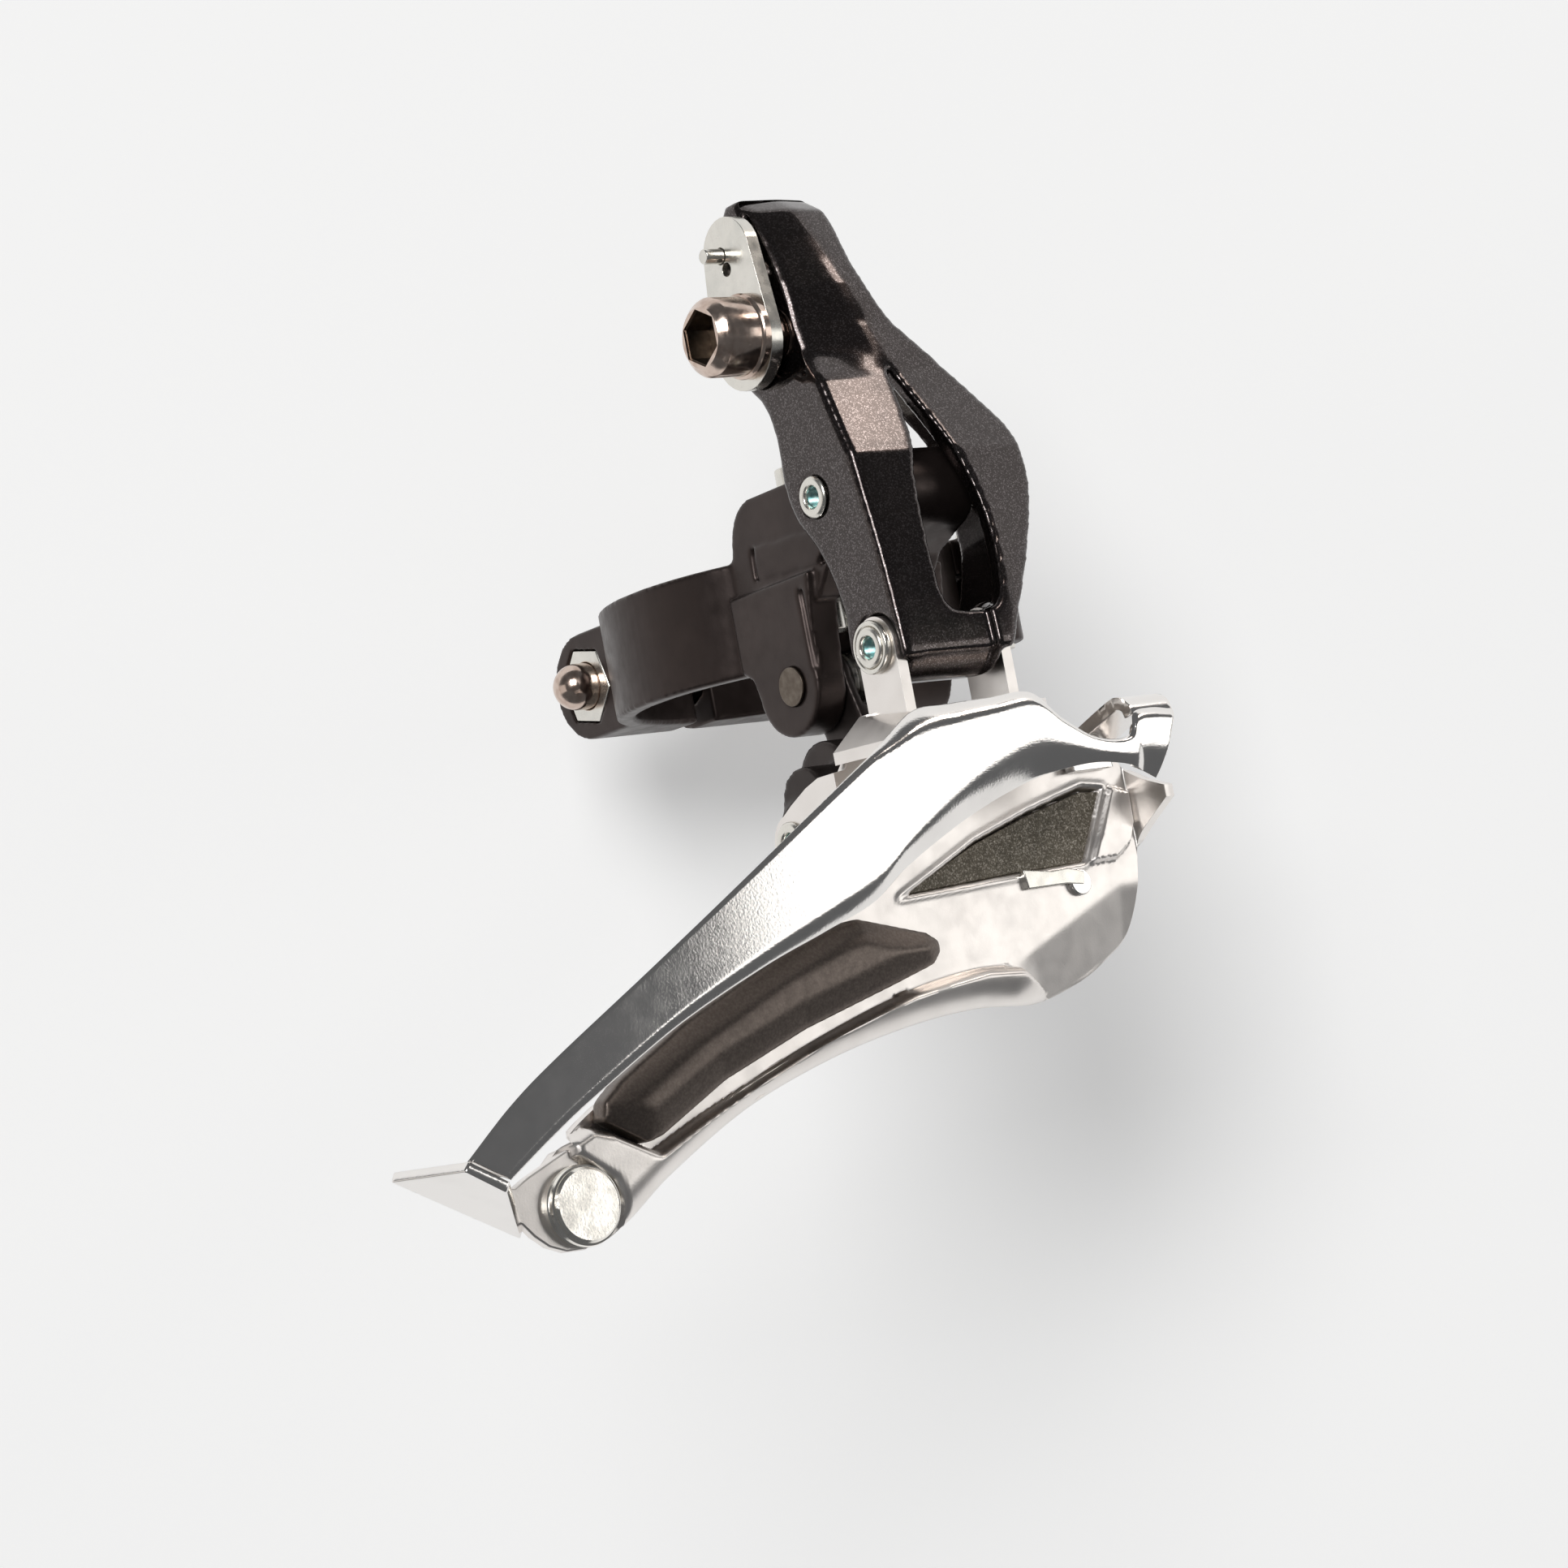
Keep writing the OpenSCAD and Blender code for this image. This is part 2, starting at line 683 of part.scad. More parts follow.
module link_cage_rivet() {
    rivet_x(low_x0 - 0.2 - sheet, low_x1 + 0.2 + sheet, link_cage, 2.2, 0.5);
}

// Headed rivet along Y through the [X, Z] point p
module rivet_y(y0, y1, p, r, head_r, head_t) {
    slab_y(y0, y1) translate(p) circle(r = r);
    slab_y(y0 - head_t, y0) translate(p) circle(r = head_r);
    slab_y(y1, y1 + 0.7) translate(p) circle(r = r + 1.1);
}

module tail_rivet() {
    color(bright) {
        rivet_y(inner_y - sheet, inner_y + sheet, tail_pt, 1.8, 3.6, 1.2);
        slab_y(inner_y - sheet - 1.6, inner_y - sheet - 1.2) translate(tail_pt) circle(r = 3.3);
    }
}

module nose_rivet() {
    color(bright) {
        slab_y(inner_y - sheet, inner_y + sheet) translate(nose_pt) circle(r = 0.8);
        slab_y(inner_y + sheet, inner_y + sheet + 0.5) translate(nose_pt) circle(r = 1.4);
    }
}

module bracket_rivets() {
    color(bright)
    for (p = bracket_pts) rivet_y(inner_y, inner_y + 2 * sheet, p, 0.9, 1.3, 0.6);
}

// Slippery pad that guides the chain along the inner plate
module skid_pad() {
    outline = concat(
        [[-57.7, -47.4], [-57.3, -45.6]],
        bend([-54.5, -43.4], [-41.5, -35.6], [-28.1, -33.3], 6),
        [[-26.0, -33.2], [-18.4, -35.3]],
        bend([-17.2, -35.8], [-16.2, -37.2], [-18.0, -38.5], 4),
        bend([-22.7, -39.8], [-40.0, -42.6], [-52.8, -50.2], 6),
        [[-53.6, -50.2]]);
    face = inner_y - pad_h;
    color(resin)
    difference() {
        union() {
            slab_y(inner_y - pad_h * 0.6, inner_y) polygon(outline);
            slab_y(face, inner_y - pad_h * 0.6)
            translate([-37.5, -41.5])
            scale(0.93)
            translate([37.5, 41.5])
            polygon(outline);
        }
        slab_y(inner_y - 1.5, inner_y + 1) for (p = pad_pts) translate(p) circle(r = 1.1);
    }
}

module pad_studs() {
    color(resin)
    for (p = pad_pts) {
        slab_y(inner_y - 1.5, inner_y + sheet) translate(p) circle(r = 1.1);
        slab_y(inner_y + sheet, inner_y + sheet + 0.8) translate(p) circle(r = 2.0);
    }
}

clamp_body();
clamp_band();
clamp_hinge_pin();
clamp_bolt();
clamp_washer();
clamp_nut();
low_limit_screw();
high_limit_screw();
arm_base_rivet();
link_base_pin();
cable_arm();
cable_plate_pin();
cable_plate();
cable_bolt();
inner_link();
return_spring();
cage_bracket();
cage_outer_plate();
cage_inner_plate();
skid_pad();
pad_studs();
arm_cage_rivet();
arm_cage_collar();
link_cage_rivet();
tail_rivet();
nose_rivet();
bracket_rivets();
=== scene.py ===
"""Looks of a band-on front derailleur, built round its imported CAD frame.

The part's lengths are millimetres in the row frame: +X front, +Z up the seat tube, -Y outboard, and
to_object() turns them into metres. The floor and the lights are in metres.
"""
import math
import bpy
import bmesh
import numpy as np
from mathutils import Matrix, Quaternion, Vector


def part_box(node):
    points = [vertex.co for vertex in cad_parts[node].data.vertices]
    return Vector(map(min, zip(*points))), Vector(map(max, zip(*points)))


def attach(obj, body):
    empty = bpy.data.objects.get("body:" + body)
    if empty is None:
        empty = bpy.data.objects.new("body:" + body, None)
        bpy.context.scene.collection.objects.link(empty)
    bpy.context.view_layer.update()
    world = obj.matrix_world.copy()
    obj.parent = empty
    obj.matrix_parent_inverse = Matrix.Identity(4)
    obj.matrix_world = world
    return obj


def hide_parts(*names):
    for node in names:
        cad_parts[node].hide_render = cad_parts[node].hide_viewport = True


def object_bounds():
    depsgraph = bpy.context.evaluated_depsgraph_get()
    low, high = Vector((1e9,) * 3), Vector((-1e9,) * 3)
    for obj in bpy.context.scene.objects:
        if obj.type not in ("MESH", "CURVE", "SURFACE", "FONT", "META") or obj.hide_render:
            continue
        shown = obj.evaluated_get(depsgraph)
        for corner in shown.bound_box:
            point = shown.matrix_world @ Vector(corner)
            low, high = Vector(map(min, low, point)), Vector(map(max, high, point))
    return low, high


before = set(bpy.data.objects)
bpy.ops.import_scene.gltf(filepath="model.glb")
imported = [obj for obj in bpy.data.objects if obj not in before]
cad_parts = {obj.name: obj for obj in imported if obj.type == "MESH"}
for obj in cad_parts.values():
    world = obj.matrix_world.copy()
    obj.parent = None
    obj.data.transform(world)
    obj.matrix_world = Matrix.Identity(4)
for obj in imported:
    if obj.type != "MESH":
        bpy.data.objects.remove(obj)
cad_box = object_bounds()
MM = 0.001

# Main planes and points of the part: the outer plate's face from its node, the rest given as numbers
OUTER_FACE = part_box("cage_outer_plate")[0].y / MM
INNER_FACE = OUTER_FACE + 12.0
SHEET = 1.2
ARM_REAR = -17.5
ARM_BASE = (-30.9, 8.2)
LINK_BASE = (-20.0, -8.4)
LINK_STEP = (-5.4, -16.0)
ARM_CAGE = (ARM_BASE[0] + LINK_STEP[0], ARM_BASE[1] + LINK_STEP[1])
LINK_CAGE = (LINK_BASE[0] + LINK_STEP[0], LINK_BASE[1] + LINK_STEP[1])
CABLE_AT = (-27.5, 25.2)
TAIL_AT = (-61.8, -54.7)

# ---------------------------------------------------------------- camera, floor and light

CAMERA_AT = Vector((-257.1, -339.2, -55.45)) * MM
VIEW_BACK = Vector((-0.5949, -0.7985, -0.094)).normalized()
CAMERA_ROLL = math.radians(-10.64)
SENSOR_MM = 36.0
LENS_MM = 93.9
turn = VIEW_BACK.to_track_quat("Z", "Y") @ Quaternion((0, 0, 1), CAMERA_ROLL)
VIEW_RIGHT = turn @ Vector((1, 0, 0))
VIEW_UP = turn @ Vector((0, 1, 0))


def link(obj):
    bpy.context.scene.collection.objects.link(obj)
    return obj


def make_camera():
    data = bpy.data.cameras.new("camera")
    data.sensor_width = SENSOR_MM
    data.lens = LENS_MM
    data.clip_start = 0.01
    camera = link(bpy.data.objects.new("camera", data))
    camera.location = CAMERA_AT
    camera.rotation_euler = turn.to_euler()
    bpy.context.scene.camera = camera


make_camera()
centre = (cad_box[0] + cad_box[1]) / 2


def make_card(name, azimuth, elevation, distance, wide, tall, radiance, tint=(1, 1, 1)):
    """Soft box aimed at the part. Azimuth is in degrees from -Y towards +X, elevation towards +Z.
    Distance and sizes are in metres."""
    turn_by, rise = math.radians(azimuth), math.radians(elevation)
    way = Vector((math.sin(turn_by) * math.cos(rise), -math.cos(turn_by) * math.cos(rise), math.sin(rise)))
    data = bpy.data.lights.new(name, "AREA")
    data.shape = "RECTANGLE"
    data.size = wide
    data.size_y = tall
    data.energy = radiance * math.pi * wide * tall
    data.color = tint
    lamp = link(bpy.data.objects.new(name, data))
    lamp.location = centre + way * distance
    lamp.rotation_euler = way.to_track_quat("Z", "Y").to_euler()


def make_floor():
    """Pale floor on which the part lies. Its underside lets the light and the view through."""
    lowest = min(v.co.dot(VIEW_BACK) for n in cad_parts.values() for v in n.data.vertices)
    gap = 0.004
    half = 0.9
    mesh = bpy.data.meshes.new("floor")
    corners = [(-half, -half), (half, -half), (half, half), (-half, half)]
    middle = VIEW_BACK * (lowest - gap)
    mesh.from_pydata([middle + VIEW_RIGHT * a + VIEW_UP * b for a, b in corners], [], [(0, 1, 2, 3)])
    floor = link(bpy.data.objects.new("floor", mesh))
    mat = bpy.data.materials.new("floor_paper")
    mat.use_nodes = True
    nodes = mat.node_tree.nodes
    wire = mat.node_tree.links.new
    paper = nodes["Principled BSDF"]
    paper.inputs["Base Color"].default_value = (0.735, 0.735, 0.73, 1)
    paper.inputs["Roughness"].default_value = 0.9
    paper.inputs["Emission Color"].default_value = (1, 1, 1, 1)
    paper.inputs["Emission Strength"].default_value = 0.37
    clear = nodes.new("ShaderNodeBsdfTransparent")
    side = nodes.new("ShaderNodeNewGeometry")
    mix = nodes.new("ShaderNodeMixShader")
    wire(side.outputs["Backfacing"], mix.inputs[0])
    wire(paper.outputs[0], mix.inputs[1])
    wire(clear.outputs[0], mix.inputs[2])
    wire(mix.outputs[0], nodes["Material Output"].inputs["Surface"])
    mesh.materials.append(mat)


def make_studio():
    """Soft boxes round the part, and a pale world that is brighter where the camera sees it directly."""
    scene = bpy.context.scene
    scene.view_settings.view_transform = "Standard"
    world = bpy.data.worlds.new("studio")
    world.use_nodes = True
    nodes = world.node_tree.nodes
    sky = nodes["Background"]
    sky.inputs["Color"].default_value = (0.95, 0.97, 1.0, 1)
    seen = nodes.new("ShaderNodeLightPath")
    strength = nodes.new("ShaderNodeMapRange")
    strength.inputs["To Min"].default_value = 0.12
    strength.inputs["To Max"].default_value = 0.92
    world.node_tree.links.new(seen.outputs["Is Camera Ray"], strength.inputs["Value"])
    world.node_tree.links.new(strength.outputs[0], sky.inputs["Strength"])
    scene.world = world
    make_card("key", -46, 20, 4.0, 1.8, 1.8, 10.0)
    make_card("side_box", 41.0, 0.5, 0.9, 0.38, 0.3, 1.6, (1.0, 0.985, 0.96))
    make_card("upper_box", 42, 38, 0.9, 0.26, 0.11, 7.5, (1.0, 0.9, 0.82))
    make_card("left_wall", -112, 0, 0.9, 0.8, 0.5, 0.6, (1.0, 0.95, 0.9))


make_floor()
make_studio()

# ---------------------------------------------------------------- finishes


class Finish:
    """One procedural material on a Principled shader. Texture sizes are in millimetres."""

    def __init__(self, name, color, metallic, roughness, **sockets):
        self.mat = bpy.data.materials.new(name)
        self.mat.use_nodes = True
        self.nodes = self.mat.node_tree.nodes
        self.wire = self.mat.node_tree.links.new
        self.shader = self.nodes["Principled BSDF"]
        self.place = self.nodes.new("ShaderNodeTexCoord").outputs["Object"]
        self.height = None
        self.set("Base Color", (*color, 1))
        self.set("Metallic", metallic)
        self.set("Roughness", roughness)
        for socket, value in sockets.items():
            self.set(socket.replace("_", " ").title().replace("Ior", "IOR"), value)

    def set(self, socket, value):
        self.shader.inputs[socket].default_value = value

    def scaled(self, size, stretch=(1, 1, 1), angles=(0, 0, 0)):
        place = self.nodes.new("ShaderNodeMapping")
        place.inputs["Scale"].default_value = [s / (size * MM) for s in stretch]
        place.inputs["Rotation"].default_value = [math.radians(a) for a in angles]
        self.wire(self.place, place.inputs["Vector"])
        return place.outputs[0]

    def noise(self, size, detail=2.0, stretch=(1, 1, 1), angles=(0, 0, 0)):
        tex = self.nodes.new("ShaderNodeTexNoise")
        tex.inputs["Scale"].default_value = 1.0
        tex.inputs["Detail"].default_value = detail
        self.wire(self.scaled(size, stretch, angles), tex.inputs["Vector"])
        return tex.outputs["Fac"]

    def cells(self, size):
        tex = self.nodes.new("ShaderNodeTexVoronoi")
        tex.inputs["Scale"].default_value = 1.0
        self.wire(self.scaled(size), tex.inputs["Vector"])
        split = self.nodes.new("ShaderNodeSeparateColor")
        self.wire(tex.outputs["Color"], split.inputs[0])
        return split.outputs[0]

    def level(self, value, low, high, out_low=0.0, out_high=1.0):
        node = self.nodes.new("ShaderNodeMapRange")
        node.inputs["From Min"].default_value = low
        node.inputs["From Max"].default_value = high
        node.inputs["To Min"].default_value = out_low
        node.inputs["To Max"].default_value = out_high
        self.wire(value, node.inputs["Value"])
        return node.outputs[0]

    def roughness(self, value, low, high, rough_low, rough_high):
        self.wire(self.level(value, low, high, rough_low, rough_high), self.shader.inputs["Roughness"])

    def tint(self, value, low, high, color_a, color_b):
        """Blends the colour so far, or color_a, towards color_b as value goes from low to high."""
        mix = self.nodes.new("ShaderNodeMix")
        mix.data_type = "RGBA"
        source = self.shader.inputs["Base Color"]
        if source.is_linked:
            self.wire(source.links[0].from_socket, mix.inputs[6])
        else:
            mix.inputs[6].default_value = (*color_a, 1)
        mix.inputs[7].default_value = (*color_b, 1)
        self.wire(self.level(value, low, high), mix.inputs[0])
        self.wire(mix.outputs[2], source)

    def bump(self, value, depth):
        """Adds relief of that depth in millimetres."""
        node = self.nodes.new("ShaderNodeBump")
        node.inputs["Strength"].default_value = 1.0
        node.inputs["Distance"].default_value = depth * MM
        self.wire(value, node.inputs["Height"])
        if self.height:
            self.wire(self.height, node.inputs["Normal"])
        self.height = node.outputs[0]
        self.wire(self.height, self.shader.inputs["Normal"])


def arm_paint():
    """Gloss dark paint with fine metal flakes under a clear coat."""
    f = Finish("arm_paint", (0.06, 0.05, 0.048), 0.95, 0.15, coat_weight=0.3, coat_roughness=0.05)
    f.tint(f.cells(0.1), 0.7, 1.0, (0.046, 0.037, 0.035), (0.17, 0.15, 0.15))
    f.roughness(f.noise(3.0), 0.3, 0.7, 0.13, 0.18)
    f.bump(f.noise(1.6, 1.0), 0.004)
    return f.mat


def clamp_paint(name="clamp_paint", color=(0.047, 0.035, 0.032)):
    """Satin dark brown-grey paint over a cast surface, rubbed a little lighter in patches."""
    f = Finish(name, color, 0.75, 0.36)
    f.tint(f.noise(6.0, 3.0), 0.45, 0.8, color, [c * 1.3 for c in color])
    f.roughness(f.noise(1.6, 3.0), 0.3, 0.7, 0.31, 0.43)
    f.bump(f.noise(0.35, 2.0), 0.005)
    f.bump(f.noise(2.5, 1.0), 0.02)
    return f.mat


def chrome(name="chrome", color=(0.86, 0.835, 0.81), along=(0, 36, 0), wear=0.0):
    """Bright plating with fine polishing lines, an orange-peel speckle and faint dirt.
    wear is how much its scuffed patches are darkened and roughened."""
    f = Finish(name, color, 1.0, 0.12)
    f.tint(f.noise(7.0, 3.0), 0.5, 0.95, color, [c * 0.9 for c in color])
    f.tint(f.noise(1.5, 5.0), 0.55, 0.75, color, [c * (1 - wear) for c in color])
    f.roughness(f.noise(1.6, 4.0), 0.35, 0.75, 0.1, 0.15 + wear)
    f.bump(f.noise(0.12, 3.0, (0.06, 1, 1), along), 0.004)
    f.bump(f.noise(0.25, 2.0), 0.006)
    return f.mat


def satin_chrome():
    """The same plating over unpolished sheet: softer, warmer and finely speckled."""
    f = Finish("satin_chrome", (0.84, 0.8, 0.765), 1.0, 0.28)
    f.tint(f.noise(5.0, 4.0), 0.45, 0.9, (0.86, 0.82, 0.785), (0.78, 0.735, 0.7))
    f.roughness(f.noise(2.0, 3.0), 0.35, 0.75, 0.29, 0.35)
    f.bump(f.noise(0.2, 3.0), 0.006)
    return f.mat


def pin_steel():
    """Bare pin end, browned by oil."""
    f = Finish("pin_steel", (0.13, 0.105, 0.085), 1.0, 0.34)
    f.tint(f.noise(0.8, 3.0), 0.4, 0.8, (0.13, 0.105, 0.085), (0.2, 0.17, 0.14))
    f.roughness(f.noise(0.5, 3.0), 0.3, 0.7, 0.28, 0.45)
    f.bump(f.noise(0.15, 2.0), 0.003)
    return f.mat


def bore_plating():
    """Blue-green passivated plating left inside the hollow rivets."""
    f = Finish("bore_plating", (0.2, 0.42, 0.42), 1.0, 0.3)
    f.tint(f.noise(0.6, 3.0), 0.4, 0.7, (0.2, 0.42, 0.42), (0.36, 0.5, 0.47))
    f.roughness(f.noise(0.4, 3.0), 0.3, 0.7, 0.22, 0.42)
    f.bump(f.noise(0.15, 2.0), 0.003)
    return f.mat


def zinc():
    """Brushed zinc-plated steel with fine straight grain."""
    f = Finish("zinc_steel", (0.74, 0.72, 0.67), 1.0, 0.24)
    f.tint(f.noise(2.6, 2.0), 0.45, 0.9, (0.76, 0.735, 0.68), (0.62, 0.61, 0.57))
    f.roughness(f.noise(1.2, 2.0), 0.3, 0.7, 0.2, 0.3)
    f.bump(f.noise(0.1, 3.0, (1, 1, 0.05)), 0.002)
    return f.mat


def nickel():
    """Warm nickel plating of the bolts, tarnished in small patches."""
    f = Finish("nickel_bolt", (0.62, 0.5, 0.43), 1.0, 0.15)
    f.tint(f.noise(1.2, 4.0), 0.45, 0.75, (0.64, 0.52, 0.45), (0.45, 0.33, 0.27))
    f.roughness(f.noise(0.7, 4.0), 0.3, 0.75, 0.1, 0.28)
    f.bump(f.noise(0.16, 3.0, (0.2, 1, 1)), 0.003)
    return f.mat


def pad_resin():
    """Matte brown-grey resin with a fine moulded grain, polished a little by the chain."""
    f = Finish("pad_resin", (0.14, 0.115, 0.1), 0.8, 0.33, specular_ior_level=0.5)
    f.tint(f.noise(0.25, 3.0), 0.4, 0.7, (0.135, 0.11, 0.096), (0.18, 0.15, 0.13))
    f.roughness(f.noise(0.5, 4.0), 0.3, 0.7, 0.28, 0.38)
    f.bump(f.noise(0.16, 3.0), 0.006)
    return f.mat


def dusty_metal():
    """Dull dusty sheet seen inside the nose pressing."""
    f = Finish("dusty_metal", (0.2, 0.17, 0.14), 0.6, 0.5)
    f.tint(f.noise(0.16, 8.0), 0.5, 0.72, (0.17, 0.15, 0.115), (0.6, 0.55, 0.48))
    f.roughness(f.noise(0.3, 4.0), 0.3, 0.7, 0.4, 0.75)
    f.bump(f.noise(0.14, 4.0), 0.02)
    return f.mat


def spring_steel():
    """Dark drawn wire with an oily grain along it."""
    f = Finish("spring_steel", (0.3, 0.29, 0.28), 1.0, 0.3)
    f.tint(f.noise(1.0, 3.0), 0.4, 0.8, (0.34, 0.33, 0.31), (0.2, 0.18, 0.16))
    f.roughness(f.noise(0.5, 3.0), 0.3, 0.7, 0.24, 0.42)
    f.bump(f.noise(0.1, 2.0, (1, 0.2, 0.2)), 0.003)
    return f.mat


LOOKS = {
    "arm_paint": arm_paint(),
    "clamp_paint": clamp_paint(),
    "link_paint": clamp_paint("link_paint", (0.04, 0.032, 0.03)),
    "cage_plate": chrome(),
    "zinc_steel": zinc(),
    "nickel_bolt": nickel(),
    "pad_resin": pad_resin(),
    "spring_steel": spring_steel(),
}
DUSTY = dusty_metal()
SATIN = satin_chrome()
WORN = chrome("worn_chrome", (0.9, 0.87, 0.81), (0, 0, 0), 0.15)
PIN = pin_steel()
BORE = bore_plating()

# ---------------------------------------------------------------- mesh tools


def to_object(name, points, faces):
    """Mesh object from points in millimetres."""
    mesh = bpy.data.meshes.new(name)
    mesh.from_pydata((np.asarray(points, float) * MM).tolist(), [], faces)
    mesh.validate()
    return link(bpy.data.objects.new(name, mesh))


def modify(obj, kind, **settings):
    modifier = obj.modifiers.new(kind.lower(), kind)
    for key, value in settings.items():
        setattr(modifier, key, value)


def apply_modifiers(obj):
    graph = bpy.context.evaluated_depsgraph_get()
    mesh = bpy.data.meshes.new_from_object(obj.evaluated_get(graph))
    old = obj.data
    obj.modifiers.clear()
    obj.data = mesh
    bpy.data.meshes.remove(old)


def outward(obj):
    """Makes every face of a closed mesh point outwards."""
    work = bmesh.new()
    work.from_mesh(obj.data)
    bmesh.ops.recalc_face_normals(work, faces=work.faces)
    work.to_mesh(obj.data)
    work.free()
    return obj


SOFT_ANGLE = 32
CRISP_ANGLE = 30


def soften(obj, width, segments=3):
    """Rounds the edges and shades the faces between them smoothly."""
    for face in obj.data.polygons:
        face.use_smooth = True
    if width:
        modify(obj, "BEVEL", width=width * MM, segments=segments, limit_method="ANGLE",
               angle_limit=math.radians(SOFT_ANGLE), use_clamp_overlap=True, miter_outer="MITER_ARC")
    modify(obj, "WEIGHTED_NORMAL", keep_sharp=True)
    return obj


def crisp(obj):
    """Smooth shading between the sharp edges."""
    for face in obj.data.polygons:
        face.use_smooth = True
    obj.data.set_sharp_from_angle(angle=math.radians(CRISP_ANGLE))
    return obj


def finish_piece(obj, body, slot, replaces=(), look=None):
    """Gives a piece its material and its body, and hides the CAD nodes that it stands for."""
    obj.data.materials.clear()
    obj.data.materials.append(look or LOOKS[slot])
    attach(obj, body)
    if replaces:
        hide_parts(*replaces)
    return obj


def points_of(obj):
    """x, y and z of the mesh's points in millimetres."""
    flat = np.empty(len(obj.data.vertices) * 3)
    obj.data.vertices.foreach_get("co", flat)
    return (flat.reshape(-1, 3) / MM).T.copy()


def move_points(obj, x, y, z):
    obj.data.vertices.foreach_set("co", (np.stack([x, y, z], 1) * MM).ravel())
    obj.data.update()
    for face in obj.data.polygons:
        face.use_smooth = True


def node_copy(node):
    """A welded copy of a CAD node's mesh, with flat stretches joined into single faces."""
    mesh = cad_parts[node].data.copy()
    obj = link(bpy.data.objects.new(node + "_shape", mesh))
    mesh.materials.clear()
    work = bmesh.new()
    work.from_mesh(mesh)
    bmesh.ops.remove_doubles(work, verts=work.verts, dist=0.5e-5)
    bmesh.ops.dissolve_limit(work, angle_limit=math.radians(0.6), verts=work.verts, edges=work.edges)
    work.to_mesh(mesh)
    work.free()
    return obj


def refined(node, body, slot, width, look=None):
    """The CAD node's own shape with rounded edges."""
    finish_piece(soften(node_copy(node), width), body, slot, [node], look)


def cast(node, body, slot, voxel, rounds, extras=(), cuts=()):
    """The CAD node as one smooth casting: remeshed finely, with every edge rounded off."""
    obj = node_copy(node)
    cut(obj, *cuts)
    for extra in extras:
        join(obj, extra)
    modify(obj, "REMESH", mode="VOXEL", voxel_size=voxel * MM)
    modify(obj, "SMOOTH", factor=0.5, iterations=rounds)
    apply_modifiers(obj)
    for face in obj.data.polygons:
        face.use_smooth = True
    return finish_piece(obj, body, slot, [node])


def join(obj, extra):
    """Adds another closed mesh to obj's mesh and removes it."""
    work = bmesh.new()
    work.from_mesh(obj.data)
    work.from_mesh(extra.data)
    work.to_mesh(obj.data)
    work.free()
    bpy.data.objects.remove(extra)


def cut(obj, *cutters):
    """Subtracts closed meshes."""
    for cutter in cutters:
        modify(obj, "BOOLEAN", object=cutter, operation="DIFFERENCE", solver="EXACT")
        apply_modifiers(obj)
        bpy.data.objects.remove(cutter)


def spun(name, outline, at, along="x", sides=72, ring=False):
    """Turned part from [distance along the axis, radius] points. ring closes the outline on itself."""
    points = []
    faces = []
    for k in range(sides):
        angle = 2 * math.pi * k / sides
        for along_axis, radius in outline:
            a = at[0] + radius * math.cos(angle)
            b = at[1] + radius * math.sin(angle)
            points.append((along_axis, a, b) if along == "x" else (a, along_axis, b))
    count = len(outline)
    spans = count if ring else count - 1
    for k in range(sides):
        n = (k + 1) % sides
        for i in range(spans):
            j = (i + 1) % count
            faces.append((k * count + i, k * count + j, n * count + j, n * count + i))
    obj = to_object(name, points, faces)
    work = bmesh.new()
    work.from_mesh(obj.data)
    bmesh.ops.remove_doubles(work, verts=work.verts, dist=1e-7)
    bmesh.ops.dissolve_degenerate(work, edges=work.edges, dist=1e-7)
    work.to_mesh(obj.data)
    work.free()
    return outward(obj)


def slab(name, outline, low, high, across="y"):
    """Flat outline given in the other two axes, made solid from low to high along one axis."""
    def place(p, t):
        return (p[0], t, p[1]) if across == "y" else (t, p[0], p[1])

    count = len(outline)
    points = [place(p, low) for p in outline] + [place(p, high) for p in outline]
    faces = [tuple(range(count)), tuple(range(count, 2 * count))]
    for i in range(count):
        j = (i + 1) % count
        faces.append((i, j, j + count, i + count))
    return outward(to_object(name, points, faces))


def hexagon(centre_at, flats, turn_deg):
    reach = flats / 2 / math.cos(math.radians(30))
    return [(centre_at[0] + reach * math.cos(math.radians(turn_deg + 60 * k)),
             centre_at[1] + reach * math.sin(math.radians(turn_deg + 60 * k))) for k in range(6)]


def smooth_path(points, step):
    """Catmull-Rom curve through the points, sampled about every step millimetres."""
    p = np.asarray(points, float)
    ends = np.vstack([2 * p[0] - p[1], p, 2 * p[-1] - p[-2]])
    rows = []
    for i in range(len(p) - 1):
        a, b, c, d = ends[i:i + 4]
        size = np.linalg.norm((c - b).reshape(-1, 2), axis=1).max()
        count = max(2, int(size / step))
        t = (np.arange(count) / count)[:, None]
        rows.append(0.5 * (2 * b + (c - a) * t + (2 * a - 5 * b + 4 * c - d) * t ** 2
                           + (3 * b - a - 3 * c + d) * t ** 3))
    rows.append(p[-1:])
    return np.vstack(rows)


def step_up(value, low, high):
    """Smooth step from 0 at low to 1 at high."""
    t = np.clip((value - low) / (high - low), 0, 1)
    return t * t * (3 - 2 * t)


def ramp(value, soft):
    """Smoothly turns from 0 below zero to value above it."""
    return soft * np.log1p(np.exp(np.clip(value / soft, -30, 30)))


def depth_inside(x, z, outline):
    """Distance to a closed outline, positive inside it."""
    best = np.full(x.shape, 1e9)
    inside = np.zeros(x.shape, bool)
    for (ax, az), (bx, bz) in zip(outline, outline[1:] + outline[:1]):
        ux, uz = bx - ax, bz - az
        t = np.clip(((x - ax) * ux + (z - az) * uz) / (ux * ux + uz * uz), 0, 1)
        best = np.minimum(best, np.hypot(x - ax - t * ux, z - az - t * uz))
        crosses = (az > z) != (bz > z)
        side = (x - ax) * uz - (z - az) * ux
        inside ^= crosses & ((side < 0) == (uz > 0))
    return np.where(inside, best, -best)


